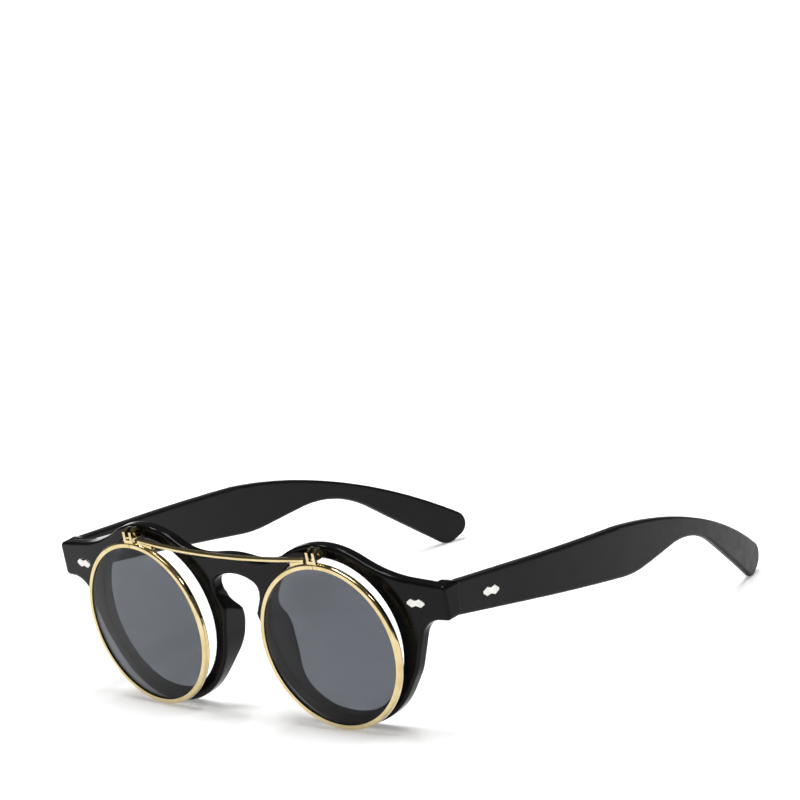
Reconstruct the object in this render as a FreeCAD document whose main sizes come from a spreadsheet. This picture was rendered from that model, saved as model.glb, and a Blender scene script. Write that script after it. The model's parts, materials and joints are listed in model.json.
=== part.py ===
import FreeCAD, Part
import math
import os
import Sketcher

# Flip-up sunglasses, in millimetres. Left is the wearer's left, on +X; the front looks along -Y.
# The pieces are drawn square to the front: y is 0 at the front's face on the centre line and z is 0
# at the height of the eyes' centres. One last turn and lift stands the whole pair on its table.

# Driving sizes, which become the cells of the sheet.
SIZES = {
    # the moulded front
    "rim_r": 25.4,
    "rim_wide": 3.5,
    "front_bow_r": 500.0,
    "front_thick": 3.4,
    "wrap_angle": 3.8,
    "front_round": 0.8,
    "back_bevel": 0.5,
    "opening_round": 0.35,
    "overrun": 16.0,
    # its outline in shares of the rims' radius: the bridge and the keyhole
    "outline_eye_x_share": 1.30315,
    "outline_bridge_top_z_share": 0.78740,
    "outline_bridge_side_x_share": 0.29528,
    "outline_bridge_side_z_share": 0.75984,
    "outline_bridge_root_x_share": 0.72835,
    "outline_bridge_root_z_share": 0.74016,
    "outline_nasal_root_x_share": 0.94488,
    "outline_nasal_low_x_share": 0.32874,
    "outline_nasal_low_z_share": 0.20472,
    "outline_notch_x_share": 0.23228,
    "outline_notch_z_share": 0.15748,
    "outline_key_side_x_share": 0.33858,
    "outline_key_side_z_share": 0.46850,
    "outline_key_wide_x_share": 0.31693,
    "outline_key_wide_z_share": 0.33071,
    "outline_key_top_z_share": 0.57874,
    "outline_key_top_r_share": 0.55512,
    "outline_bridge_round_share": 0.70866,
    "outline_crown_round_share": 0.31496,
    "outline_key_round_share": 0.11811,
    "outline_key_wide_round_share": 0.15748,
    "outline_notch_round_share": 0.04724,
    # the same outline's end pieces
    "outline_end_x_share": 2.82677,
    "outline_end_top_z_share": 0.61417,
    "outline_end_low_z_share": 0.24409,
    "outline_end_root_x_share": 1.96850,
    "outline_end_root_z_share": 0.71260,
    "outline_end_inner_x_share": 1.88976,
    "outline_end_throat_x_share": 2.50394,
    "outline_merge_run_share": 0.25984,
    "outline_brow_round_share": 1.49606,
    "outline_throat_round_share": 0.27559,
    "outline_blend_round_share": 0.62992,
    "outline_end_round_share": 0.04724,
    "merge_angle": 33.7,
    # the hinge corner of the end pieces
    "wall_thick": 4.0,
    "slope_long": 5.2,
    "slope_over": 1.2,
    "slope_under": 0.7,
    "boss_in": 9.1,
    "boss_low_in": 1.0,
    "boss_top_in": 1.3,
    # the same outline's nose pads, and how far back they swell
    "outline_pad_reach_x_share": 0.98425,
    "outline_pad_top_z_share": 0.37402,
    "outline_pad_peak_drop_share": 0.09843,
    "outline_pad_low_drop_share": 0.74803,
    "pad_deep": 4.6,
    "shelf_angle": 35.0,
    "shelf_start": 1.0,
    # the clear lenses in the front
    "bevel_set": 1.5,
    "bevel_half": 0.7,
    "bevel_tall": 0.5,
    "lens_gap": 0.03,
    "clear_thick": 1.4,
    "clear_bow_r": 140.0,
    # the flip-up rims, which hang from their hinges, and their tinted lenses
    "flip_out": 1.15,
    "flip_y": 2.2,
    "flip_hang": 2.4,
    "flip_rim_r": 23.3,
    "flip_rim_wide": 1.4,
    "flip_rim_deep": 1.8,
    "flip_rim_round": 0.6,
    "flip_bevel_half": 0.65,
    "flip_bevel_tall": 0.4,
    "tinted_thick": 1.2,
    "tinted_bow_r": 170.0,
    "split_gap": 0.2,
    # the flip hinges, with heights measured from their axis
    "flip_axis_y": 0.95,
    "flip_axis_drop": 1.2,
    "knuckle_r": 1.5,
    "knuckle_share": 0.8667,
    "fork_wide": 3.2,
    "fork_gap": 1.4,
    "fork_plate": 0.9,
    "fork_floor_drop": 1.6,
    "fork_foot_drop": 3.0,
    "side_play": 0.05,
    "flip_bore_r": 0.58,
    "flip_screw_r": 0.55,
    "flip_head_r": 1.0,
    "flip_head_thick": 0.45,
    "flip_tail": 0.25,
    "slot_wide": 0.3,
    "slot_deep": 0.2,
    "base_wide": 3.9,
    "base_drop": 1.6,
    "base_rise": 0.4,
    "base_front_y": 0.95,
    "base_back_y": 2.1,
    "neck_drop": 0.9,
    # the bar between the rims
    "bar_r": 0.7,
    "bar_end_in": 3.25,
    "bar_mid_y": 3.9,
    "bar_mid_drop": 2.65,
    "bar_sag": 2.0,
    "bar_sag_angle": 63.0,
    "foot_end_in": 8.25,
    "foot_low_drop": 5.2,
    "foot_top_drop": 1.75,
    "foot_deep": 1.3,
    # the temple hinges: the pin's place, and what lies about it
    "hinge_in": 5.5,
    "hinge_back": 7.5851,
    "temple_drop_angle": 10.2,
    "temple_splay_angle": 4.0,
    "joint_set": 1.7,
    "barrel_r": 1.5,
    "barrel_tall": 2.0,
    "barrel_play": 0.05,
    "leaf_thick": 0.7,
    "leaf_half_z": 2.8,
    "leaf_nose_x": 8.4,
    "leaf_side_x": 1.6,
    "leaf_front_y": 0.9,
    "leaf_back_y": 13.8,
    "web_half": 0.9,
    "pin_bore_r": 0.68,
    "pin_r": 0.65,
    "pin_head_r": 1.15,
    "pin_head_tall": 0.5,
    # the temples, measured from the pin
    "arm_set": 3.9,
    "arm_thick": 3.2,
    "arm_top_z": 4.0,
    "arm_low_z": 4.9,
    "arm_lead_y": 4.0,
    "arm_swell_y": 60.0,
    "arm_swell_z": 6.5,
    "arm_back_r": 155.0,
    "arm_heel_y": 65.8,
    "arm_heel_z": 7.6,
    "arm_bend_y": 96.0,
    "arm_bend_z": 0.8,
    "tip_low_y": 130.5,
    "tip_low_z": 23.2,
    "tip_high_y": 139.8,
    "tip_high_z": 17.0,
    "heel_round": 40.0,
    "bend_round": 30.0,
    "tip_round": 4.0,
    "arm_round": 0.8,
    "bow_start_y": 22.0,
    "bow_end_y": 144.0,
    "bow_out_r": 272.0,
    "bow_in_r": 284.0,
    # the rivet shields
    "shield_half_x": 2.8,
    "shield_lobe_x": 1.42,
    "shield_lobe_z": 1.26,
    "shield_end_z": 0.35,
    "shield_waist_z": 0.82,
    "shield_thick": 0.6,
    "shield_sunk": 0.35,
    "shield_edge": 0.12,
    "shank_x": 1.4,
    "shank_r": 0.5,
    "shank_gap": 0.05,
    "front_rivet_in": 9.7,
    "front_rivet_rise": 0.05,
    "front_rivet_angle": 7.1,
    "front_shank": 5.4,
    "temple_rivet_y": 9.8,
    "temple_rivet_drop": 0.6,
    "temple_shank": 2.3,
    # the stand on its table
    "table_angle": 3.825,
    "table_back": 69.944,
    "table_lift": 25.219,
}

# Sizes that follow from the driving ones, as formulas of the same sheet.
DERIVED = {
    "opening_r": "rim_r - rim_wide",
    "hinge_x": "end_x - hinge_in",
    "hinge_y": "front_bow_r - sqrt(front_bow_r * front_bow_r - hinge_x * hinge_x) + hinge_back",
    "hinge_z": "(end_top_z + end_low_z) / 2",
    "wall_x": "end_x - wall_thick",
    "slope_y": "hinge_y - slope_long",
    "slope_top_z": "end_top_z + slope_over",
    "slope_end_z": "end_top_z - slope_under",
    "boss_x": "hinge_x - boss_in",
    "boss_low_z": "end_low_z + boss_low_in",
    "boss_top_z": "end_top_z - boss_top_in",
    "flip_x": "eye_x + flip_out",
    "flip_axis_z": "rim_r - flip_axis_drop",
    "flip_z": "flip_hang + flip_rim_r - flip_axis_z",
    "fork_front_y": "flip_axis_y + knuckle_r * knuckle_share + fork_plate",
    "fork_floor_z": "flip_axis_z - fork_floor_drop",
    "fork_foot_z": "flip_axis_z - fork_foot_drop",
    "base_low_z": "flip_axis_z - base_drop",
    "base_high_z": "flip_axis_z + base_rise",
    "neck_low_z": "flip_axis_z - neck_drop",
    "bar_end_x": "flip_x - bar_end_in",
    "bar_mid_z": "flip_axis_z - bar_mid_drop",
    "foot_in_x": "flip_x - foot_end_in",
    "foot_low_z": "flip_axis_z - foot_low_drop",
    "foot_top_z": "flip_axis_z - foot_top_drop",
    "front_rivet_x": "end_x - front_rivet_in",
    "front_rivet_z": "hinge_z + front_rivet_rise",
}

OUTLINE = {}
for alias in SIZES:
    if alias.startswith("outline_"):
        OUTLINE[alias.replace("outline_", "").replace("_share", "")] = "rim_r * " + alias

doc = FreeCAD.newDocument("flip_up_sunglasses")
sheet = doc.addObject("Spreadsheet::Sheet", "Sizes")
entries = {alias: str(number) for alias, number in SIZES.items()}
entries.update({alias: "=" + formula for alias, formula in {**OUTLINE, **DERIVED}.items()})
for row, (alias, content) in enumerate(entries.items(), 1):
    sheet.set("A%d" % row, alias)
    sheet.set("B%d" % row, content)
    sheet.setAlias("B%d" % row, alias)
doc.recompute()


class Size:
    """A number that remembers the sheet expression it comes from."""

    def __init__(self, value, text):
        self.value = value
        self.text = text

    def __add__(self, other):
        other = as_size(other)
        return Size(self.value + other.value, "(%s + %s)" % (self.text, other.text))

    def __sub__(self, other):
        other = as_size(other)
        return Size(self.value - other.value, "(%s - %s)" % (self.text, other.text))

    def __mul__(self, other):
        other = as_size(other)
        return Size(self.value * other.value, "(%s * %s)" % (self.text, other.text))

    def __truediv__(self, other):
        other = as_size(other)
        return Size(self.value / other.value, "(%s / %s)" % (self.text, other.text))

    def __neg__(self):
        return Size(-self.value, "(0 - %s)" % self.text)


def as_size(number):
    """Takes a size as it is and wraps a plain factor."""
    return number if isinstance(number, Size) else Size(number, str(number))


def cell(alias):
    """The size held in one cell of the sheet."""
    return Size(float(sheet.get(alias)), "Sizes." + alias)


def root(size):
    return Size(math.sqrt(size.value), "sqrt(%s)" % size.text)


def sine(angle):
    return Size(math.sin(math.radians(angle.value)), "sin(%s)" % angle.text)


def cosine(angle):
    return Size(math.cos(math.radians(angle.value)), "cos(%s)" % angle.text)


def bind(item, prop, size):
    """Sets a property and ties it to the sheet."""
    setattr(item, prop, size.value)
    item.setExpression(prop, size.text)


def vector_text(x, y, z):
    return "vector(%s; %s; %s)" % tuple(as_size(part).text for part in (x, y, z))


def place_text(x, y, z, axis, angle):
    """The expression of a placement: a turn about an axis, then a shift."""
    turn = "rotation(%s; %s)" % (vector_text(*axis), as_size(angle).text)
    return "placement(%s; %s)" % (vector_text(x, y, z), turn)


def chain(*steps):
    """The expression of several placements, the outermost first."""
    return " * ".join(steps)


STAND = place_text(0, -cell("table_back"), cell("table_lift"), (1, 0, 0), cell("table_angle"))
HINGE = place_text(cell("hinge_x"), cell("hinge_y"), cell("hinge_z"), (1, 0, 0), -cell("temple_drop_angle"))
OPEN_ARM = chain(STAND, HINGE, place_text(0, 0, 0, (0, 0, 1), -cell("temple_splay_angle")))


def new_body(label, where=STAND):
    """A body named for its node, put in its place by an expression."""
    body = doc.addObject("PartDesign::Body", label)
    body.Label = label
    body.setExpression("Placement", where)
    return body


def sketch_on(body, name, role, shift=(0, 0, 0), turn=None):
    """An empty sketch on an origin plane, shifted and turned in that plane's own axes."""
    sketch = body.newObject("Sketcher::SketchObject", body.Label + "_" + name)
    plane = next(item for item in body.Origin.OriginFeatures if item.Role == role)
    sketch.AttachmentSupport = [(plane, "")]
    sketch.MapMode = "FlatFace"
    if turn:
        rotation = FreeCAD.Rotation(FreeCAD.Vector(*turn[0]), turn[1].value)
        sketch.AttachmentOffset = FreeCAD.Placement(FreeCAD.Vector(), rotation)
        sketch.setExpression("AttachmentOffset.Rotation.Angle", turn[1].text)
    for axis, size in zip("xyz", shift):
        if isinstance(size, Size):
            sketch.setExpression("AttachmentOffset.Base." + axis, size.text)
    return sketch


def hold(sketch, constraint, size):
    """Adds a dimension and ties it to the sheet."""
    index = sketch.addConstraint(Sketcher.Constraint(*constraint, size.value))
    sketch.setExpression("Constraints[%d]" % index, size.text)


def pin(sketch, geo, point, x, y):
    """Holds a sketch point at its coordinates; a plain 0 means on the axis."""
    for kind, size, axis in (("DistanceX", x, -2), ("DistanceY", y, -1)):
        if not isinstance(size, Size):
            sketch.addConstraint(Sketcher.Constraint("PointOnObject", geo, point, axis))
        elif size.value >= 0:
            hold(sketch, (kind, -1, 1, geo, point), size)
        else:
            hold(sketch, (kind, geo, point, -1, 1), -size)


def flat_point(corner):
    return FreeCAD.Vector(as_size(corner[0]).value, as_size(corner[1]).value, 0)


def arc_between(start, finish, radius, side):
    """The short arc between two points; side is 1 if its centre lies to the left of the way."""
    way = finish - start
    left = FreeCAD.Vector(-way.y, way.x, 0).normalize()
    rise = math.sqrt(radius * radius - way.Length * way.Length / 4)
    centre = (start + finish) / 2 + left * (side * rise)
    ends = (start, finish) if side > 0 else (finish, start)
    angles = [math.atan2(end.y - centre.y, end.x - centre.x) for end in ends]
    circle = Part.Circle(centre, FreeCAD.Vector(0, 0, 1), radius)
    return Part.ArcOfCircle(circle, angles[0], angles[1])


def loop(sketch, corners):
    """A closed outline: a corner is (x, y) before a line, (x, y, radius, side) before an arc."""
    ends = []
    for corner, following in zip(corners, corners[1:] + corners[:1]):
        start, finish, arc = flat_point(corner), flat_point(following), corner[2:]
        if arc:
            geo = sketch.addGeometry(arc_between(start, finish, arc[0].value, arc[1]))
            ends.append((geo, 1, 2) if arc[1] > 0 else (geo, 2, 1))
        else:
            geo = sketch.addGeometry(Part.LineSegment(start, finish))
            ends.append((geo, 1, 2))
    for corner, (geo, first, last), following in zip(corners, ends, ends[1:] + ends[:1]):
        sketch.addConstraint(Sketcher.Constraint("Coincident", geo, last, following[0], following[1]))
        pin(sketch, geo, first, corner[0], corner[1])
        for radius in corner[2:3]:
            hold(sketch, ("Radius", geo), radius)
    return sketch


def box(sketch, low_x, high_x, low_y, high_y):
    return loop(sketch, [(low_x, low_y), (high_x, low_y), (high_x, high_y), (low_x, high_y)])


def ring(sketch, x, y, radius):
    """A circle with its centre held."""
    circle = Part.Circle(flat_point((x, y)), FreeCAD.Vector(0, 0, 1), radius.value)
    geo = sketch.addGeometry(circle)
    pin(sketch, geo, 3, x, y)
    hold(sketch, ("Radius", geo), radius)
    return sketch


def axis_line(sketch, start, finish):
    """A construction line for a feature to turn about."""
    geo = sketch.addGeometry(Part.LineSegment(flat_point(start), flat_point(finish)), True)
    pin(sketch, geo, 1, *start)
    pin(sketch, geo, 2, *finish)
    return sketch


def slab(body, kind, sketch, length):
    """A Pad or Pocket that reaches half its length to each side of its sketch."""
    feature = body.newObject("PartDesign::" + kind, sketch.Name + "_" + kind.lower())
    feature.Profile = sketch
    feature.SideType = "Symmetric"
    bind(feature, "Length", length)
    return feature


def spin(body, kind, sketch, axis):
    """A full Revolution or Groove about an axis of its sketch."""
    feature = body.newObject("PartDesign::" + kind, sketch.Name + "_" + kind.lower())
    feature.Profile = sketch
    feature.ReferenceAxis = (sketch, [axis])
    feature.Angle = 360
    return feature


def round_edges(body, name, radius, wanted, kind="Fillet"):
    """Rounds or bevels the edges of the body's last feature for which wanted(edge) is true."""
    doc.recompute()
    base = body.Tip
    names = ["Edge%d" % (i + 1) for i, edge in enumerate(base.Shape.Edges) if wanted(edge)]
    if not names:
        raise ValueError("no edge found for " + name)
    feature = body.newObject("PartDesign::" + kind, body.Label + "_" + name)
    feature.Base = (base, names)
    feature.Refine = False
    bind(feature, "Radius" if kind == "Fillet" else "Size", radius)
    return feature


def edge_points(edge, shares=(0.0, 0.25, 0.5, 0.75, 1.0)):
    """Points spread along an edge."""
    first, last = edge.ParameterRange
    return [edge.valueAt(first + (last - first) * share) for share in shares]


def span(edge, axis):
    """How far an edge reaches along x, y or z."""
    values = [getattr(point, axis) for point in edge_points(edge)]
    return max(values) - min(values)


def round_corner(body, name, radius, axis, near):
    """Rounds the one edge along an axis that passes nearest a point of the other two axes."""
    doc.recompute()
    others = [other for other in "xyz" if other != axis]

    def gap(edge):
        middle = edge_points(edge)[2]
        return math.hypot(*(getattr(middle, other) - size.value for other, size in zip(others, near)))

    along = [edge for edge in body.Tip.Shape.Edges if span(edge, axis) > edge.Length * (1 - TINY_SHARE)]
    target = min(along, key=gap)
    return round_edges(body, name, radius, lambda edge: edge.isSame(target))


def mirrored(source, label):
    """The other side's copy of a piece."""
    copy = doc.addObject("Part::Mirroring", label)
    copy.Source = source
    copy.Normal = FreeCAD.Vector(1, 0, 0)
    copy.Label = label
    return copy


def bow_back(radius, x):
    """How far back a face bowed about the front's own centre lies at x."""
    return cell("front_bow_r") - root(radius * radius - x * x)


TINY_SHARE = 0.001
SHARP_SHARE = 0.7
LIP_SHARE = 0.05
NEAR = 0.02
EYE_Y = bow_back(cell("front_bow_r"), cell("eye_x"))


def front_blank(body):
    """Eye disc, bridge and end piece of the left half, before the bow is cut."""
    deep = cell("overrun") * 2
    eye = ring(sketch_on(body, "eye", "XZ_Plane"), cell("eye_x"), 0, cell("rim_r"))
    slab(body, "Pad", eye, deep)
    drop = cell("bridge_top_z") - cell("bridge_side_z")
    side = cell("bridge_side_x")
    crown_r = (side * side + drop * drop) / (drop * 2)
    bridge = loop(sketch_on(body, "bridge", "XZ_Plane"), [
        (0, cell("key_top_z")),
        (0, cell("bridge_top_z"), crown_r, -1),
        (side, cell("bridge_side_z")),
        (cell("bridge_root_x"), cell("bridge_root_z")),
        (cell("nasal_root_x"), -cell("nasal_low_z")),
        (cell("nasal_low_x"), -cell("nasal_low_z")),
        (cell("notch_x"), cell("notch_z")),
        (cell("key_wide_x"), cell("key_wide_z")),
        (cell("key_side_x"), cell("key_side_z"), cell("key_top_r"), 1),
    ])
    slab(body, "Pad", bridge, deep)
    turn = cell("merge_angle")
    merge_x = cell("eye_x") + cell("rim_r") * cosine(turn)
    merge_z = -cell("rim_r") * sine(turn)
    bulge = (merge_x + cell("merge_run") * sine(turn), merge_z + cell("merge_run") * cosine(turn))
    end = loop(sketch_on(body, "end", "XZ_Plane"), [
        (cell("end_root_x"), cell("end_root_z")),
        (cell("end_x"), cell("end_top_z")),
        (cell("end_x"), cell("end_low_z")),
        (cell("end_throat_x"), cell("end_low_z")),
        bulge,
        (merge_x, merge_z),
        (cell("end_inner_x"), 0),
    ])
    slab(body, "Pad", end, deep)
    corners = (
        ("brow_sweep", "brow_round", "end_root_x", "end_root_z"),
        ("bridge_sweep", "bridge_round", "bridge_root_x", "bridge_root_z"),
        ("throat", "throat_round", "end_throat_x", "end_low_z"),
        ("key", "key_round", "key_side_x", "key_side_z"),
        ("key_wide", "key_wide_round", "key_wide_x", "key_wide_z"),
        ("notch", "notch_round", "notch_x", "notch_z"),
        ("end_top", "end_round", "end_x", "end_top_z"),
        ("end_low", "end_round", "end_x", "end_low_z"),
    )
    for name, radius, x, z in corners:
        round_corner(body, name + "_corner", cell(radius), "y", (cell(x), cell(z)))
    nasal = (cell("nasal_low_x"), -cell("nasal_low_z"))
    round_corner(body, "bulge_corner", cell("blend_round"), "y", bulge)
    round_corner(body, "nasal_corner", cell("blend_round"), "y", nasal)
    crown = (cell("bridge_side_x"), cell("bridge_side_z"))
    round_corner(body, "crown_corner", cell("crown_round"), "y", crown)


def pad_profile(body):
    """The back of the nasal half seen from the side: flat, with the smooth swelling of a nose pad."""
    start_x = cell("pad_reach_x")
    flat = bow_back(cell("front_bow_r") - cell("front_thick"), start_x)
    rise = cell("pad_deep") / 2
    top, peak, low = cell("pad_top_z"), -cell("pad_peak_drop"), -cell("pad_low_drop")
    upper = (top - peak) / 2
    lower = (peak - low) / 2
    upper_r = (upper * upper + rise * rise) / (rise * 2)
    lower_r = (lower * lower + rise * rise) / (rise * 2)
    far = cell("overrun") * 2
    return loop(sketch_on(body, "pad_back", "YZ_Plane"), [
        (flat, far),
        (flat, top, upper_r, 1),
        (flat + rise, peak + upper, upper_r, -1),
        (flat + rise * 2, peak, lower_r, -1),
        (flat + rise, peak - lower, lower_r, 1),
        (flat, low),
        (flat, -far),
        (far, -far),
        (far, far),
    ])


def front_bow(body):
    """Cuts the bowed face and back, then adds the hinge boss and cuts the slanting joint plane."""
    tall = cell("overrun") * 4
    reach = cell("overrun")
    out_x = cell("end_x") + reach
    face = loop(sketch_on(body, "face", "XY_Plane"), [
        (0, 0, cell("front_bow_r"), 1),
        (out_x, bow_back(cell("front_bow_r"), out_x)),
        (out_x, -reach * 2),
        (0, -reach * 2),
    ])
    slab(body, "Pocket", face, tall)
    back_r = cell("front_bow_r") - cell("front_thick")
    wall = cell("wall_x")
    start_x = cell("pad_reach_x")
    back = loop(sketch_on(body, "back", "XY_Plane"), [
        (start_x, bow_back(back_r, start_x), back_r, 1),
        (wall, bow_back(back_r, wall)),
        (wall, reach * 2),
        (start_x, reach * 2),
    ])
    slab(body, "Pocket", back, tall)
    slab(body, "Pocket", pad_profile(body), start_x * 2)
    inner = cell("boss_x")
    boss = sketch_on(body, "boss", "XZ_Plane", (0, 0, -cell("hinge_y")))
    box(boss, inner, (wall + cell("end_x")) / 2, cell("boss_low_z"), cell("boss_top_z"))
    slab(body, "Pad", boss, cell("hinge_y"))
    drop = cell("temple_drop_angle")
    far = reach * 2
    near = reach / 2
    ahead_y = cell("hinge_y") - cell("joint_set") * cosine(drop)
    ahead_z = cell("hinge_z") + cell("joint_set") * sine(drop)
    joint = loop(sketch_on(body, "joint", "YZ_Plane", (0, 0, cell("end_x"))), [
        (ahead_y + far * sine(drop), ahead_z + far * cosine(drop)),
        (ahead_y - near * sine(drop), ahead_z - near * cosine(drop)),
        (far * 2, ahead_z - near * cosine(drop)),
        (far * 2, ahead_z + far * cosine(drop)),
    ])
    slab(body, "Pocket", joint, (cell("end_x") - inner + cell("front_thick")) * 2)
    slope = loop(sketch_on(body, "slope", "YZ_Plane", (0, 0, cell("end_x"))), [
        (cell("slope_y"), cell("slope_top_z")),
        (cell("hinge_y"), cell("slope_end_z")),
        (cell("hinge_y"), far),
        (cell("slope_y"), far),
    ])
    slab(body, "Pocket", slope, (cell("end_x") - wall + cell("front_thick") / 2) * 2)


def front_frame():
    """The moulded front: its left half, then the mirror image."""
    body = new_body("front_left_half")
    front_blank(body)
    front_bow(body)
    front_rounding(body)
    key_shelf(body)
    lens_opening(body)
    front_recesses(body)
    whole = doc.addObject("Part::Fuse", "front_frame")
    whole.Base = body
    whole.Tool = mirrored(body, "front_right_half")
    whole.Refine = True
    return whole


def on_bow(edge, radius):
    """True for an edge that lies on a bowed face of the front, off the centre line."""
    centre_y = cell("front_bow_r").value
    points = edge_points(edge)
    near = all(abs(math.hypot(p.x, p.y - centre_y) - radius.value) < NEAR for p in points)
    return near and max(p.x for p in points) > NEAR


def front_rounding(body):
    """Rounds the outline of the bowed face and bevels that of the back, up to the hinge boss."""
    face_r = cell("front_bow_r")
    back_r = face_r - cell("front_thick")
    boss_x = cell("boss_x").value

    doc.recompute()
    profile = doc.getObject(body.Label + "_pad_back").Shape
    start_x = cell("pad_reach_x").value

    def on_pad(edge):
        points = edge_points(edge)
        near = all(profile.distToShape(Part.Vertex(0, p.y, p.z))[0] < NEAR for p in points)
        return near and NEAR < max(p.x for p in points) and min(p.x for p in points) < start_x - NEAR

    def back_edge(edge):
        return on_pad(edge) or on_bow(edge, back_r) and start_x + NEAR < edge_points(edge)[2].x < boss_x

    round_edges(body, "face_round", cell("front_round"), lambda edge: on_bow(edge, face_r))
    round_edges(body, "back_bevel", cell("back_bevel"), back_edge, "Chamfer")


def key_shelf(body):
    """Slants the shelf at the foot of the keyhole down towards the back, into the top of the pad."""
    slant = cell("shelf_angle")
    ahead = cell("shelf_start") * sine(slant)
    wide = cell("key_wide_x")
    top = ahead + (cell("key_side_z") - cell("notch_round")) * cosine(slant)
    low = ahead + cell("notch_z") * cosine(slant)
    shelf = loop(sketch_on(body, "shelf", "XZ_Plane", turn=((1, 0, 0), -slant)), [
        (0, top),
        (wide, top),
        (wide, ahead + cell("key_wide_z") * cosine(slant)),
        (cell("notch_x"), low),
        (0, low),
    ])
    slab(body, "Pocket", shelf, cell("overrun") * 2)


def eye_point(back, out):
    """A point of the lens axis' own plane: back along the axis and out from it."""
    wrap = cell("wrap_angle")
    x = cell("eye_x") + as_size(out) * cosine(wrap) - back * sine(wrap)
    y = EYE_Y + as_size(out) * sine(wrap) + back * cosine(wrap)
    return x, y


def lens_opening(body):
    """Turns out the opening with the groove that holds the clear lens, and softens its lips."""
    reach = cell("overrun")
    inner = cell("opening_r")
    bevel = cell("bevel_set")
    sketch = sketch_on(body, "opening", "XY_Plane")
    axis_line(sketch, eye_point(-reach, 0), eye_point(reach, 0))
    loop(sketch, [
        eye_point(-reach, 0),
        eye_point(-reach, inner),
        eye_point(bevel - cell("bevel_half"), inner),
        eye_point(bevel, inner + cell("bevel_tall")),
        eye_point(bevel + cell("bevel_half"), inner),
        eye_point(reach, inner),
        eye_point(reach, 0),
    ])
    spin(body, "Groove", sketch, "Axis0")
    doc.recompute()
    lip_r = inner.value

    def lip(edge, radius):
        points = edge_points(edge)
        flat = all(abs(math.hypot(p.x - cell("eye_x").value, p.z) / lip_r - 1) < LIP_SHARE for p in points)
        return flat and on_bow(edge, radius)

    face_r = cell("front_bow_r")
    round_edges(body, "lip_round", cell("opening_round"), lambda edge: lip(edge, face_r))


def front_recesses(body):
    """Seats for the flip hinge base, the hinge leaf and the rivet shield with its shanks."""
    half = cell("base_wide") / 2
    seat = sketch_on(body, "base_seat", "XZ_Plane")
    box(seat, cell("flip_x") - half, cell("flip_x") + half, cell("base_low_z"), cell("base_high_z"))
    slab(body, "Pocket", seat, cell("base_back_y") * 2)
    tilt = ((1, 0, 0), -cell("temple_drop_angle"))
    at_hinge = (cell("hinge_x"), cell("hinge_z"), -cell("hinge_y"))
    leaf = sketch_on(body, "leaf_seat", "XZ_Plane", at_hinge, tilt)
    tall = cell("leaf_half_z")
    box(leaf, -cell("leaf_nose_x"), cell("leaf_side_x"), -tall, tall)
    slab(body, "Pocket", leaf, (cell("joint_set") + cell("leaf_thick")) * 2)
    turn = ((0, 1, 0), cell("front_rivet_angle"))
    rivet_y = bow_back(cell("front_bow_r"), cell("front_rivet_x"))
    at_rivet = (cell("front_rivet_x"), cell("front_rivet_z"), -rivet_y)
    shield = shield_loop(sketch_on(body, "shield_seat", "XZ_Plane", at_rivet, turn))
    slab(body, "Pocket", shield, cell("shield_sunk") * 2)
    holes = shank_rings(sketch_on(body, "shank_holes", "XZ_Plane", at_rivet, turn))
    slab(body, "Pocket", holes, (cell("front_shank") + cell("shank_gap")) * 2)


def shield_loop(sketch):
    """The bow-tie outline of a rivet shield."""
    half = cell("shield_half_x")
    lobe = cell("shield_lobe_x")
    lobe_z = cell("shield_lobe_z")
    waist = cell("shield_waist_z")
    end_z = cell("shield_end_z")
    return loop(sketch, [
        (half, -end_z), (half, end_z), (lobe, lobe_z), (0, waist), (-lobe, lobe_z), (-half, end_z),
        (-half, -end_z), (-lobe, -lobe_z), (0, -waist), (lobe, -lobe_z),
    ])


def shank_rings(sketch):
    """The two shanks behind a shield."""
    ring(sketch, cell("shank_x"), 0, cell("shank_r"))
    ring(sketch, -cell("shank_x"), 0, cell("shank_r"))
    return sketch


def rivet(label, where, shank):
    """A shield that stands a little proud of its seat, with two shanks behind it."""
    body = new_body(label, where)
    thick = cell("shield_thick")
    middle = cell("shield_sunk") - thick / 2
    shield_loop(sketch_on(body, "shield", "XZ_Plane", (0, 0, -middle)))
    slab(body, "Pad", doc.getObject(label + "_shield"), thick)
    start = cell("shield_sunk") - thick / 2
    shank_rings(sketch_on(body, "shanks", "XZ_Plane", (0, 0, -(start + shank) / 2)))
    slab(body, "Pad", doc.getObject(label + "_shanks"), shank - start)
    proud = (cell("shield_sunk") - thick).value
    round_edges(body, "shield_bevel", cell("shield_edge"),
                lambda edge: all(abs(p.y - proud) < NEAR for p in edge_points(edge)), "Chamfer")
    return body


def lens(label, where, edge_r, bevel_tall, thick, bow_r, set_back):
    """A bowed lens: a piece of a spherical shell, turned down to a bevelled edge."""
    body = new_body(label, where)
    rim = edge_r - cell("lens_gap")
    back_r = bow_r - thick
    centre = set_back - thick / 2 + root(bow_r * bow_r - rim * rim)
    half = rim + bevel_tall * 2
    shell = sketch_on(body, "shell", "YZ_Plane")
    axis_line(shell, (centre, 0), (centre, half))
    loop(shell, [
        (centre - root(bow_r * bow_r - half * half), -half, bow_r, -1),
        (centre - root(bow_r * bow_r - half * half), half),
        (centre - root(back_r * back_r - half * half), half, back_r, 1),
        (centre - root(back_r * back_r - half * half), -half),
    ])
    blank = spin(body, "Revolution", shell, "Axis0")
    blank.Midplane = True
    share = half / back_r
    bind(blank, "Angle", Size(math.degrees(math.asin(share.value)), "asin(%s)" % share.text) * 2)
    ahead = set_back - thick
    behind = (centre - root(back_r * back_r - rim * rim)) * 2 - set_back
    edge = loop(sketch_on(body, "edge", "XY_Plane"), [
        (rim + bevel_tall, set_back),
        (rim - bevel_tall, ahead),
        (half * 2, ahead),
        (half * 2, behind + half),
        (rim - bevel_tall, behind),
    ])
    spin(body, "Groove", edge, "V_Axis")
    return body


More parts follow.
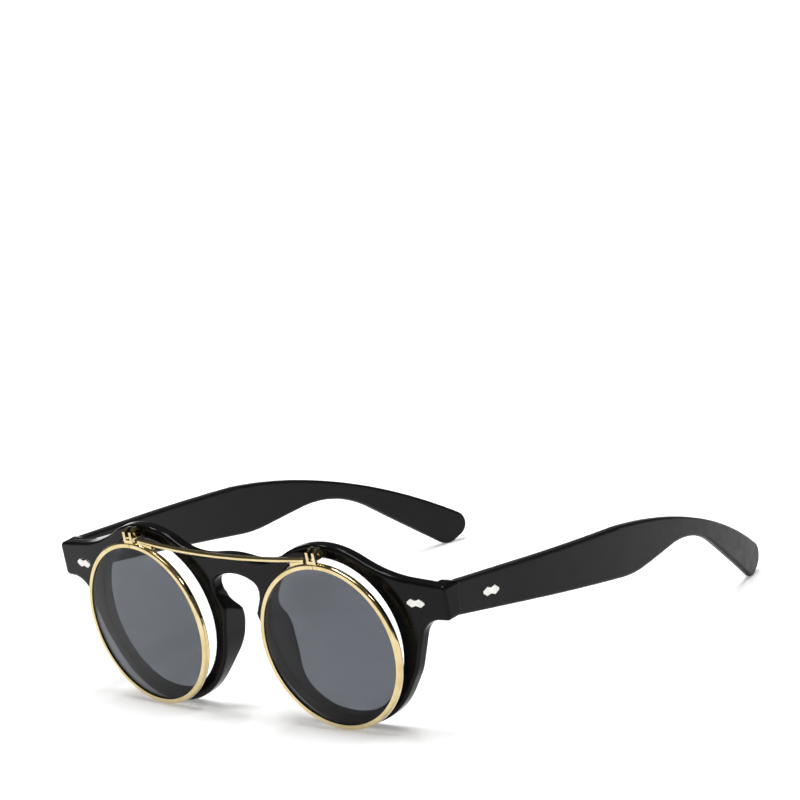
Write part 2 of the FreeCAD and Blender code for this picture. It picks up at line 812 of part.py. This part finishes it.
def flip_rim(label, where):
    """A grooved eyewire, split at the top where the lens goes in."""
    body = new_body(label, where)
    outer = cell("flip_rim_r")
    inner = outer - cell("flip_rim_wide")
    half = cell("flip_rim_deep") / 2
    bevel = cell("flip_bevel_half")
    section = loop(sketch_on(body, "section", "XY_Plane"), [
        (inner, -half), (outer, -half), (outer, half), (inner, half),
        (inner, bevel), (inner + cell("flip_bevel_tall"), 0), (inner, -bevel),
    ])
    spin(body, "Revolution", section, "V_Axis")

    def outside(edge):
        return all(abs(math.hypot(p.x, p.z) - outer.value) < NEAR for p in edge_points(edge)) \
            and span(edge, "y") < NEAR

    round_edges(body, "outer_round", cell("flip_rim_round"), outside)
    split = sketch_on(body, "split", "XZ_Plane")
    gap = cell("split_gap") / 2
    box(split, -gap, gap, inner - cell("flip_rim_wide"), outer + cell("flip_rim_wide"))
    slab(body, "Pocket", split, cell("overrun"))
    return body


def flip_bracket(label):
    """The forked hinge half on a flip rim: two knuckles behind an upright fork."""
    body = new_body(label)
    across = (0, 0, cell("flip_x"))
    axis_y = -cell("flip_axis_y")
    axis_z = cell("flip_axis_z")
    knuckle = cell("knuckle_r")
    plate_back = cell("fork_plate") - cell("fork_front_y")
    ahead = axis_y - plate_back
    top = axis_z + root(knuckle * knuckle - ahead * ahead)
    web = loop(sketch_on(body, "knuckles", "YZ_Plane", across), [
        (plate_back, axis_z - knuckle),
        (axis_y, axis_z - knuckle, knuckle, 1),
        (axis_y + knuckle, axis_z, knuckle, 1),
        (axis_y, axis_z + knuckle, knuckle, 1),
        (plate_back, top),
    ])
    slab(body, "Pad", web, cell("fork_wide"))
    gap = cell("fork_gap") / 2
    middle = cell("flip_x")
    slot = sketch_on(body, "slot", "XZ_Plane")
    box(slot, middle - gap, middle + gap, cell("fork_foot_z"), axis_z + knuckle * 2)
    slab(body, "Pocket", slot, cell("overrun"))
    half = cell("fork_wide") / 2
    floor = cell("fork_floor_z")
    front_y = cell("fork_front_y") - cell("fork_plate") / 2
    fork = loop(sketch_on(body, "fork", "XZ_Plane", (0, 0, front_y)), [
        (middle - half, cell("fork_foot_z")), (middle + half, cell("fork_foot_z")),
        (middle + half, top), (middle + gap, top), (middle + gap, floor),
        (middle - gap, floor), (middle - gap, top), (middle - half, top),
    ])
    slab(body, "Pad", fork, cell("fork_plate"))
    seat = ring(sketch_on(body, "rim_seat", "XZ_Plane"), middle, -cell("flip_z"), cell("flip_rim_r"))
    slab(body, "Pocket", seat, cell("overrun"))
    bore = ring(sketch_on(body, "bore", "YZ_Plane", across), axis_y, axis_z, cell("flip_bore_r"))
    slab(body, "Pocket", bore, cell("fork_wide") * 2)
    return body


def flip_base(label):
    """The fixed hinge half: a plate let into the brow with one knuckle in front of it."""
    body = new_body(label)
    across = (0, 0, cell("flip_x"))
    axis_y = -cell("flip_axis_y")
    axis_z = cell("flip_axis_z")
    half = cell("base_wide") / 2
    deep = cell("base_back_y") - cell("base_front_y")
    plate = sketch_on(body, "plate", "XZ_Plane", (0, 0, -(cell("base_back_y") - deep / 2)))
    box(plate, cell("flip_x") - half, cell("flip_x") + half, cell("base_low_z"), cell("base_high_z"))
    slab(body, "Pad", plate, deep)
    wide = cell("fork_gap") - cell("side_play") * 2
    neck = sketch_on(body, "neck", "YZ_Plane", across)
    box(neck, axis_y, cell("base_back_y") - deep / 2, cell("neck_low_z"), cell("base_high_z"))
    slab(body, "Pad", neck, wide)
    knuckle = ring(sketch_on(body, "knuckle", "YZ_Plane", across), axis_y, axis_z, cell("knuckle_r"))
    slab(body, "Pad", knuckle, wide)
    bore = ring(sketch_on(body, "bore", "YZ_Plane", across), axis_y, axis_z, cell("flip_bore_r"))
    slab(body, "Pocket", bore, wide * 2)
    return body


def flip_screw(label):
    """The hinge screw: a slotted head on the nose side and a shank that shows at the far side."""
    body = new_body(label)
    axis_y = -cell("flip_axis_y")
    axis_z = cell("flip_axis_z")
    half = cell("fork_wide") / 2
    tail = cell("flip_tail")
    head = cell("flip_head_thick")
    shank = sketch_on(body, "shank", "YZ_Plane", (0, 0, cell("flip_x") + tail / 2))
    slab(body, "Pad", ring(shank, axis_y, axis_z, cell("flip_screw_r")), half * 2 + tail)
    cap = sketch_on(body, "cap", "YZ_Plane", (0, 0, cell("flip_x") - half - head / 2))
    slab(body, "Pad", ring(cap, axis_y, axis_z, cell("flip_head_r")), head)
    slot = sketch_on(body, "slot", "YZ_Plane", (0, 0, cell("flip_x") - half - head))
    wide = cell("slot_wide") / 2
    reach = cell("knuckle_r")
    box(slot, axis_y - reach, axis_y + reach, axis_z - wide, axis_z + wide)
    slab(body, "Pocket", slot, cell("slot_deep") * 2)
    return body


def bridge_bar(label):
    """The bowed rod between the flip rims, with a foot on each rim."""
    body = new_body(label)
    sag = cell("bar_sag")
    end_x = cell("bar_end_x")
    bend_r = (end_x * end_x + sag * sag) / (sag * 2)
    turn = cell("bar_sag_angle")
    mid_y = -cell("bar_mid_y")
    mid_z = cell("bar_mid_z")
    centre_y = mid_y + bend_r * sine(turn)
    centre_z = mid_z + bend_r * cosine(turn)
    section = sketch_on(body, "section", "YZ_Plane")
    reach = cell("overrun")
    axis_line(section, (centre_y - reach * cosine(turn), centre_z + reach * sine(turn)),
              (centre_y + reach * cosine(turn), centre_z - reach * sine(turn)))
    ring(section, mid_y, mid_z, cell("bar_r"))
    rod = spin(body, "Revolution", section, "Axis0")
    rod.Midplane = True
    half_turn = Size(math.degrees(math.asin((end_x / bend_r).value)), "asin(%s)" % (end_x / bend_r).text)
    bind(rod, "Angle", half_turn * 2)
    for side, name in ((1, "left_foot"), (-1, "right_foot")):
        foot = sketch_on(body, name, "XZ_Plane", (0, 0, cell("flip_y")))
        box(foot, cell("foot_in_x") * side, end_x * side, cell("foot_low_z"), cell("foot_top_z"))
        slab(body, "Pad", foot, cell("foot_deep"))
    for side, name in ((1, "left_rim_seat"), (-1, "right_rim_seat")):
        seat = sketch_on(body, name, "XZ_Plane")
        ring(seat, cell("flip_x") * side, -cell("flip_z"), cell("flip_rim_r"))
        slab(body, "Pocket", seat, cell("overrun"))
    return body


def front_leaf(label):
    """The hinge leaf let into the end piece, with the outer two barrels."""
    body = new_body(label, chain(STAND, HINGE))
    thick = cell("leaf_thick")
    tall = cell("leaf_half_z")
    plate = sketch_on(body, "plate", "XZ_Plane", (0, 0, cell("joint_set") + thick / 2))
    slab(body, "Pad", box(plate, -cell("leaf_nose_x"), cell("leaf_side_x"), -tall, tall), thick)
    web = sketch_on(body, "web", "XY_Plane")
    slab(body, "Pad", box(web, -cell("web_half"), cell("web_half"), -cell("joint_set"), 0), tall * 2)
    barrel = ring(sketch_on(body, "barrel", "XY_Plane"), 0, 0, cell("barrel_r"))
    slab(body, "Pad", barrel, tall * 2)
    gap = sketch_on(body, "gap", "XY_Plane")
    reach = cell("barrel_r") * 2
    slab(body, "Pocket", box(gap, -reach, reach, -cell("joint_set"), reach), cell("barrel_tall"))
    bore = ring(sketch_on(body, "bore", "XY_Plane"), 0, 0, cell("pin_bore_r"))
    slab(body, "Pocket", bore, tall * 4)
    return body


def temple_leaf(label):
    """The hinge leaf let into the temple, with the middle barrel."""
    body = new_body(label, OPEN_ARM)
    thick = cell("leaf_thick")
    inner_x = cell("arm_set") - cell("arm_thick") / 2
    tall = cell("leaf_half_z")
    plate = sketch_on(body, "plate", "YZ_Plane", (0, 0, inner_x + thick / 2))
    slab(body, "Pad", box(plate, -cell("leaf_front_y"), cell("leaf_back_y"), -tall, tall), thick)
    wide = cell("barrel_tall") - cell("barrel_play") * 2
    web = sketch_on(body, "web", "XY_Plane")
    slab(body, "Pad", box(web, 0, inner_x + thick / 2, -cell("web_half"), cell("web_half")), wide)
    barrel = ring(sketch_on(body, "barrel", "XY_Plane"), 0, 0, cell("barrel_r"))
    slab(body, "Pad", barrel, wide)
    bore = ring(sketch_on(body, "bore", "XY_Plane"), 0, 0, cell("pin_bore_r"))
    slab(body, "Pocket", bore, wide * 2)
    return body


def hinge_screw(label):
    """The temple hinge's screw, with a slotted head on top."""
    body = new_body(label, chain(STAND, HINGE))
    tall = cell("leaf_half_z")
    head = cell("pin_head_tall")
    shank = ring(sketch_on(body, "shank", "XY_Plane"), 0, 0, cell("pin_r"))
    slab(body, "Pad", shank, tall * 2)
    cap = ring(sketch_on(body, "cap", "XY_Plane", (0, 0, tall + head / 2)), 0, 0, cell("pin_head_r"))
    slab(body, "Pad", cap, head)
    slot = sketch_on(body, "slot", "XY_Plane", (0, 0, tall + head))
    wide = cell("slot_wide") / 2
    reach = cell("barrel_r")
    slab(body, "Pocket", box(slot, -reach, reach, -wide, wide), cell("slot_deep") * 2)
    return body


def arm_side_cut(body, name, side, bow_r):
    """Cuts one face of the temple: straight at the hinge, then bowed in towards the head."""
    face_x = cell("arm_set") + cell("arm_thick") / 2 * side
    start = cell("bow_start_y")
    end = cell("bow_end_y")
    run = end - start
    sag = bow_r - root(bow_r * bow_r - run * run)
    far = cell("overrun") * 3 * side
    lead = -cell("arm_lead_y") * 2
    cut = loop(sketch_on(body, name, "XY_Plane"), [
        (face_x, lead), (face_x, start, bow_r, 1), (face_x - sag, end), (far, end), (far, lead),
    ])
    slab(body, "Pocket", cut, cell("overrun") * 6)


def temple_arm(label):
    """The temple: side outline, bowed faces, butt end, rounded edges and seats."""
    body = new_body(label, OPEN_ARM)
    side = loop(sketch_on(body, "side", "YZ_Plane"), [
        (-cell("arm_lead_y"), -cell("arm_low_z")),
        (cell("arm_heel_y"), -cell("arm_heel_z")),
        (cell("arm_bend_y"), -cell("arm_bend_z")),
        (cell("tip_low_y"), -cell("tip_low_z")),
        (cell("tip_high_y"), -cell("tip_high_z"), cell("arm_back_r"), 1),
        (cell("arm_swell_y"), cell("arm_swell_z")),
        (-cell("arm_lead_y"), cell("arm_top_z")),
    ])
    slab(body, "Pad", side, cell("overrun") * 4)
    for name, radius, y, z in (
            ("heel", "heel_round", "arm_heel_y", "arm_heel_z"),
            ("bend", "bend_round", "arm_bend_y", "arm_bend_z"),
            ("tip_low", "tip_round", "tip_low_y", "tip_low_z"),
            ("tip_high", "tip_round", "tip_high_y", "tip_high_z")):
        round_corner(body, name + "_corner", cell(radius), "x", (cell(y), -cell(z)))
    arm_side_cut(body, "outer_face", 1, cell("bow_out_r"))
    arm_side_cut(body, "inner_face", -1, cell("bow_in_r"))
    splay = cell("temple_splay_angle")
    inner_x = cell("arm_set") - cell("arm_thick")
    outer_x = cell("arm_set") + cell("arm_thick")
    lead = -cell("arm_lead_y") * 2

    def butt_y(x):
        return (x * sine(splay) - cell("joint_set")) / cosine(splay)

    butt = loop(sketch_on(body, "butt", "XY_Plane"), [
        (inner_x, butt_y(inner_x)), (inner_x, lead), (outer_x, lead), (outer_x, butt_y(outer_x)),
    ])
    slab(body, "Pocket", butt, cell("overrun") * 2)
    doc.recompute()
    shape = body.Tip.Shape
    round_edges(body, "edge_round", cell("arm_round"), lambda edge: arm_edge(shape, edge))
    leaf = sketch_on(body, "leaf_seat", "YZ_Plane", (0, 0, cell("arm_set") - cell("arm_thick") / 2))
    tall = cell("leaf_half_z")
    box(leaf, -cell("leaf_front_y") * 2, cell("leaf_back_y"), -tall, tall)
    slab(body, "Pocket", leaf, cell("leaf_thick") * 2)
    face_x = cell("arm_set") + cell("arm_thick") / 2
    at_rivet = (cell("temple_rivet_y"), -cell("temple_rivet_drop"), face_x)
    shield = shield_loop(sketch_on(body, "shield_seat", "YZ_Plane", at_rivet))
    slab(body, "Pocket", shield, cell("shield_sunk") * 2)
    holes = shank_rings(sketch_on(body, "shank_holes", "YZ_Plane", at_rivet))
    slab(body, "Pocket", holes, (cell("temple_shank") + cell("shank_gap")) * 2)
    return body


def arm_edge(shape, edge):
    """True for the sharp edges of the temple, apart from those of its butt end."""
    faces = shape.ancestorsOfType(edge, Part.Face)
    if len(faces) < 2 or max(p.y for p in edge_points(edge)) < 0:
        return False
    middle = edge_points(edge)[2]
    normals = [face.normalAt(*face.Surface.parameter(middle)) for face in faces[:2]]
    return abs(normals[0].dot(normals[1])) < SHARP_SHARE


def write_steps(pieces):
    """Checks every object, then writes one file for each piece."""
    doc.recompute()
    for item in doc.Objects:
        if "Invalid" in item.State or "Error" in item.State:
            raise ValueError("%s did not build: %s" % (item.Name, item.State))
    os.makedirs("parts", exist_ok=True)
    for piece in pieces:
        shape = piece.Shape
        if shape.isNull() or not shape.isValid() or len(shape.Solids) != 1:
            raise ValueError("%s has no good solid" % piece.Label)
        shape.exportStep("parts/%s.step" % piece.Label)


eye_place = chain(STAND, place_text(cell("eye_x"), EYE_Y, 0, (0, 0, 1), cell("wrap_angle")))
flip_place = chain(STAND, place_text(cell("flip_x"), -cell("flip_y"), -cell("flip_z"),
                                     (0, 0, 1), cell("wrap_angle")))
rivet_back = bow_back(cell("front_bow_r"), cell("front_rivet_x"))
front_rivet_place = chain(STAND, place_text(cell("front_rivet_x"), rivet_back, cell("front_rivet_z"),
                                            (0, 0, 1), cell("front_rivet_angle")))
arm_face_x = cell("arm_set") + cell("arm_thick") / 2
temple_rivet_place = chain(OPEN_ARM, place_text(arm_face_x, cell("temple_rivet_y"),
                                                -cell("temple_rivet_drop"), (0, 0, 1), 90))
flip_groove_r = cell("flip_rim_r") - cell("flip_rim_wide")

lefts = [
    lens("left_clear_lens", eye_place, cell("opening_r"), cell("bevel_tall"), cell("clear_thick"),
         cell("clear_bow_r"), cell("bevel_set")),
    rivet("left_front_rivet", front_rivet_place, cell("front_shank")),
    front_leaf("left_front_hinge_leaf"),
    hinge_screw("left_temple_hinge_screw"),
    flip_base("left_flip_hinge_base"),
    flip_rim("left_flip_rim", flip_place),
    lens("left_tinted_lens", flip_place, flip_groove_r, cell("flip_bevel_tall"), cell("tinted_thick"),
         cell("tinted_bow_r"), Size(0, "0")),
    flip_bracket("left_flip_bracket"),
    flip_screw("left_flip_screw"),
    temple_arm("left_temple_arm"),
    temple_leaf("left_temple_hinge_leaf"),
    rivet("left_temple_rivet", temple_rivet_place, cell("temple_shank")),
]
rights = [mirrored(piece, piece.Label.replace("left_", "right_")) for piece in lefts]
write_steps([front_frame(), bridge_bar("flip_bridge_bar")] + lefts + rights)
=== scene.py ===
import json
import math

import bpy
from mathutils import Matrix, Vector

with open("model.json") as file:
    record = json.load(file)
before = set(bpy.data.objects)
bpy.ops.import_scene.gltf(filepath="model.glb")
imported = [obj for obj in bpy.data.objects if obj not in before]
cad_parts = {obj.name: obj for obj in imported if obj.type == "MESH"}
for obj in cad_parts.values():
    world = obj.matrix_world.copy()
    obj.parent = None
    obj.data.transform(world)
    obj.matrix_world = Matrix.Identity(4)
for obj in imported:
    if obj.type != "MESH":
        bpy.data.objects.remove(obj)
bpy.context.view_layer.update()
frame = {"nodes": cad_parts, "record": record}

# Flip-up sunglasses on a white table. Metres, in the frame of the solids; degrees for angles.

# The camera of the lower picture: a long lens, rolled a little.
CAMERA_PLACE = Vector((0.9172, -0.9224, 0.3920))
CAMERA_AIM = Vector((-0.0063, 0.0077, 0.0648))
CAMERA_ROLL = -8.78
CAMERA_LENS = 221.3
SENSOR_WIDE = 36.0

# The table: white, and lifted by a little light of its own where it is seen.
FLOOR_HALF = 6.0
FLOOR_CORNERS = ((-1, -1), (1, -1), (1, 1), (-1, 1))
FLOOR_COLOUR = (1.0, 1.0, 1.0)
FLOOR_ROUGHNESS = 0.9
FLOOR_LIFT = 0.28

# The sky, by the rise of the line of sight: a white backdrop, dim walls and a bright ceiling.
BACKDROP_LEVEL = 1.0
WALL_LEVEL = 0.08
CEILING_LEVEL = 9.5
SKY = (
    (0.06, BACKDROP_LEVEL),
    (0.10, WALL_LEVEL),
    (0.95, WALL_LEVEL),
    (0.98, CEILING_LEVEL),
)

# Three small lamps that all face the sunglasses.
LAMP_PLACES = {
    "key": (-0.70, -0.10, 1.10),
    "side": (0.75, 0.35, 1.00),
    "edge": (-0.35, 0.45, 1.20),
}
LAMP_AIM = Vector((0.0, 0.0, 0.02))
LAMP_WIDE = 0.16
LAMP_POWER = 2.4

# The stretch of a noise pattern, between these limits, over which colours and roughness run.
PATTERN_LOW = 0.3
PATTERN_HIGH = 0.7
PATTERN_DETAIL = 3.0
PATTERN_STRETCH = (1.0, 1.0, 1.0)
SOFT_EDGE_SAMPLES = 8

# Hinge steel is drawn along Y, in one pattern for its colour, roughness and relief.
DRAWN = {"size": 0.0004, "detail": 2.0, "stretch": (1.0, 0.08, 1.0)}

# The finishes by record slot. Colours run from dark to light and roughness from low to high,
# each over a grain of its own size.
FINISHES = {
    # Polished black moulding: nearly mirror smooth, with a faint mould ripple and soft edges.
    "gloss_black": {
        "colours": ((0.004, 0.004, 0.004), (0.006, 0.006, 0.006)),
        "colour_grain": {"size": 0.02},
        "roughness": (0.10, 0.18),
        "rough_grain": {"size": 0.006},
        "sockets": {"Specular IOR Level": 0.12},
        "relief": {"deep": 0.00004, "strength": 0.25, "soft": 0.0006},
        "relief_grain": {"size": 0.004, "detail": 1.0},
    },
    # Satin black moulding with a fine tumbled grain.
    "satin_black": {
        "colours": ((0.004, 0.004, 0.004), (0.006, 0.006, 0.006)),
        "colour_grain": {"size": 0.015},
        "roughness": (0.34, 0.44),
        "rough_grain": {"size": 0.003},
        "sockets": {"Specular IOR Level": 0.18},
        "relief": {"deep": 0.00001, "strength": 0.3},
        "relief_grain": {"size": 0.0004, "detail": 2.0},
    },
    # Pale gold plate, polished.
    "gold": {
        "colours": ((0.62, 0.49, 0.235), (0.72, 0.60, 0.355)),
        "colour_grain": {"size": 0.004},
        "roughness": (0.07, 0.15),
        "rough_grain": {"size": 0.0015},
        "sockets": {"Metallic": 1.0},
        "relief": {"deep": 0.00001, "strength": 0.15},
        "relief_grain": {"size": 0.0007, "detail": 2.0},
    },
    # Bright silver of the rivet shields.
    "silver": {
        "colours": ((0.62, 0.61, 0.58), (0.74, 0.73, 0.70)),
        "colour_grain": {"size": 0.002},
        "roughness": (0.16, 0.28),
        "rough_grain": {"size": 0.001},
        "sockets": {"Metallic": 1.0},
        "relief": {"deep": 0.00001, "strength": 0.15},
        "relief_grain": {"size": 0.0005, "detail": 2.0},
    },
    # Plain hinge steel with drawn lines.
    "steel": {
        "colours": ((0.50, 0.50, 0.49), (0.62, 0.62, 0.60)),
        "colour_grain": DRAWN,
        "roughness": (0.25, 0.40),
        "rough_grain": DRAWN,
        "sockets": {"Metallic": 1.0},
        "relief": {"deep": 0.00001, "strength": 0.2},
        "relief_grain": DRAWN,
    },
    # Clear lens, with the faintest smear on its faces.
    "clear_lens": {
        "colours": ((0.96, 0.97, 0.97), (0.98, 0.98, 0.98)),
        "colour_grain": {"size": 0.03},
        "roughness": (0.0, 0.015),
        "rough_grain": {"size": 0.01},
        "sockets": {"Transmission Weight": 1.0, "IOR": 1.30},
    },
    # Grey tinted lens, as smooth as the clear one.
    "tinted_lens": {
        "colours": ((0.098, 0.105, 0.120), (0.104, 0.112, 0.128)),
        "colour_grain": {"size": 0.03},
        "roughness": (0.0, 0.015),
        "rough_grain": {"size": 0.01},
        "sockets": {"Transmission Weight": 1.0, "IOR": 1.25},
    },
}


def opaque(colour):
    """A colour with full alpha."""
    return (*colour, 1.0)


def new_material(name):
    """A material that holds a Principled shader and its output only, with its tree and shader."""
    material = bpy.data.materials.new(name)
    material.use_nodes = True
    tree = material.node_tree
    tree.nodes.clear()
    output = tree.nodes.new("ShaderNodeOutputMaterial")
    shader = tree.nodes.new("ShaderNodeBsdfPrincipled")
    tree.links.new(shader.outputs["BSDF"], output.inputs["Surface"])
    return material, tree, shader


def grain(tree, size, detail=PATTERN_DETAIL, stretch=PATTERN_STRETCH):
    """Noise whose features are about size metres across, stretched along chosen axes."""
    place = tree.nodes.new("ShaderNodeTexCoord")
    mapping = tree.nodes.new("ShaderNodeMapping")
    mapping.inputs["Scale"].default_value = stretch
    noise = tree.nodes.new("ShaderNodeTexNoise")
    noise.inputs["Scale"].default_value = 1.0 / size
    noise.inputs["Detail"].default_value = detail
    tree.links.new(place.outputs["Object"], mapping.inputs["Vector"])
    tree.links.new(mapping.outputs["Vector"], noise.inputs["Vector"])
    return noise.outputs["Fac"]


def vary(tree, factor, socket, low, high):
    """Lets a number follow a pattern between two values."""
    spread = tree.nodes.new("ShaderNodeMapRange")
    spread.inputs["From Min"].default_value = PATTERN_LOW
    spread.inputs["From Max"].default_value = PATTERN_HIGH
    spread.inputs["To Min"].default_value = low
    spread.inputs["To Max"].default_value = high
    tree.links.new(factor, spread.inputs["Value"])
    tree.links.new(spread.outputs["Result"], socket)


def tint(tree, factor, socket, dark, light):
    """Lets a colour follow a pattern between two colours."""
    ramp = tree.nodes.new("ShaderNodeValToRGB")
    first, last = ramp.color_ramp.elements
    first.position = PATTERN_LOW
    first.color = opaque(dark)
    last.position = PATTERN_HIGH
    last.color = opaque(light)
    tree.links.new(factor, ramp.inputs["Fac"])
    tree.links.new(ramp.outputs["Color"], socket)


def emboss(tree, factor, shader, deep, strength, soft=0.0):
    """Raises a pattern by a real depth, on edges softened over a given width."""
    bump = tree.nodes.new("ShaderNodeBump")
    if soft:
        edge = tree.nodes.new("ShaderNodeBevel")
        edge.samples = SOFT_EDGE_SAMPLES
        edge.inputs["Radius"].default_value = soft
        tree.links.new(edge.outputs["Normal"], bump.inputs["Normal"])
    bump.inputs["Distance"].default_value = deep
    bump.inputs["Strength"].default_value = strength
    tree.links.new(factor, bump.inputs["Height"])
    tree.links.new(bump.outputs["Normal"], shader.inputs["Normal"])


def finish(name, colours, colour_grain, roughness, rough_grain, sockets, relief=None, relief_grain=None):
    """One finish: colour and roughness over their grains, constant sockets, and a relief if any."""
    material, tree, shader = new_material(name)
    tint(tree, grain(tree, **colour_grain), shader.inputs["Base Color"], *colours)
    vary(tree, grain(tree, **rough_grain), shader.inputs["Roughness"], *roughness)
    for socket, value in sockets.items():
        shader.inputs[socket].default_value = value
    if relief:
        emboss(tree, grain(tree, **relief_grain), shader, **relief)
    return material


def dress():
    """Gives every solid the finish of its record slot."""
    finishes = {name: finish(name, **values) for name, values in FINISHES.items()}
    for part in frame["record"]["subparts"]:
        node = frame["nodes"][part["node"]]
        node.data.materials.clear()
        node.data.materials.append(finishes[part["material_slot"]])


def floor():
    """A plain white table, lifted a little to white for the eye, in mirrors and through glass."""
    mesh = bpy.data.meshes.new("floor")
    corners = [(x * FLOOR_HALF, y * FLOOR_HALF, 0.0) for x, y in FLOOR_CORNERS]
    mesh.from_pydata(corners, [], [tuple(range(len(corners)))])
    table = bpy.data.objects.new("floor", mesh)
    bpy.context.scene.collection.objects.link(table)
    material, tree, shader = new_material("table_white")
    shader.inputs["Base Color"].default_value = opaque(FLOOR_COLOUR)
    shader.inputs["Roughness"].default_value = FLOOR_ROUGHNESS
    shader.inputs["Specular IOR Level"].default_value = 0.0
    shader.inputs["Emission Color"].default_value = opaque(FLOOR_COLOUR)
    path = tree.nodes.new("ShaderNodeLightPath")
    seen = path.outputs["Is Camera Ray"]
    for way in ("Is Glossy Ray", "Is Transmission Ray"):
        either = tree.nodes.new("ShaderNodeMath")
        either.operation = "MAXIMUM"
        tree.links.new(seen, either.inputs[0])
        tree.links.new(path.outputs[way], either.inputs[1])
        seen = either.outputs["Value"]
    lift = tree.nodes.new("ShaderNodeMath")
    lift.operation = "MULTIPLY"
    lift.inputs[1].default_value = FLOOR_LIFT
    tree.links.new(seen, lift.inputs[0])
    tree.links.new(lift.outputs["Value"], shader.inputs["Emission Strength"])
    mesh.materials.append(material)


def look_at(place, aim, roll=0.0):
    """The matrix of something at a place that faces its aim along -Z, rolled about that line."""
    turn = (aim - place).to_track_quat("-Z", "Y").to_matrix().to_4x4()
    return Matrix.Translation(place) @ turn @ Matrix.Rotation(math.radians(roll), 4, "Z")


def add_sky():
    """A world whose level follows the rise of the line of sight."""
    world = bpy.data.worlds.new("sky")
    world.use_nodes = True
    tree = world.node_tree
    sky = tree.nodes["Background"]
    sky.inputs["Strength"].default_value = CEILING_LEVEL
    way = tree.nodes.new("ShaderNodeTexCoord")
    parts = tree.nodes.new("ShaderNodeSeparateXYZ")
    ramp = tree.nodes.new("ShaderNodeValToRGB")
    stops = ramp.color_ramp.elements
    while len(stops) < len(SKY):
        stops.new(1.0)
    for stop, (rise, level) in zip(stops, SKY):
        share = level / CEILING_LEVEL
        stop.position = rise
        stop.color = opaque((share, share, share))
    tree.links.new(way.outputs["Generated"], parts.inputs["Vector"])
    tree.links.new(parts.outputs["Z"], ramp.inputs["Fac"])
    tree.links.new(ramp.outputs["Color"], sky.inputs["Color"])
    bpy.context.scene.world = world


def add_lamps():
    """Small square lamps that face the sunglasses."""
    for name, place in LAMP_PLACES.items():
        lamp = bpy.data.lights.new(name, "AREA")
        lamp.size = LAMP_WIDE
        lamp.energy = LAMP_POWER
        holder = bpy.data.objects.new(name, lamp)
        holder.matrix_world = look_at(Vector(place), LAMP_AIM)
        bpy.context.scene.collection.objects.link(holder)


def add_camera():
    """The camera of the photograph, and plain colours."""
    scene = bpy.context.scene
    camera = bpy.data.cameras.new("camera")
    camera.lens = CAMERA_LENS
    camera.sensor_width = SENSOR_WIDE
    holder = bpy.data.objects.new("camera", camera)
    holder.matrix_world = look_at(CAMERA_PLACE, CAMERA_AIM, CAMERA_ROLL)
    scene.collection.objects.link(holder)
    scene.camera = holder
    scene.view_settings.view_transform = "Standard"


dress()
floor()
add_sky()
add_lamps()
add_camera()
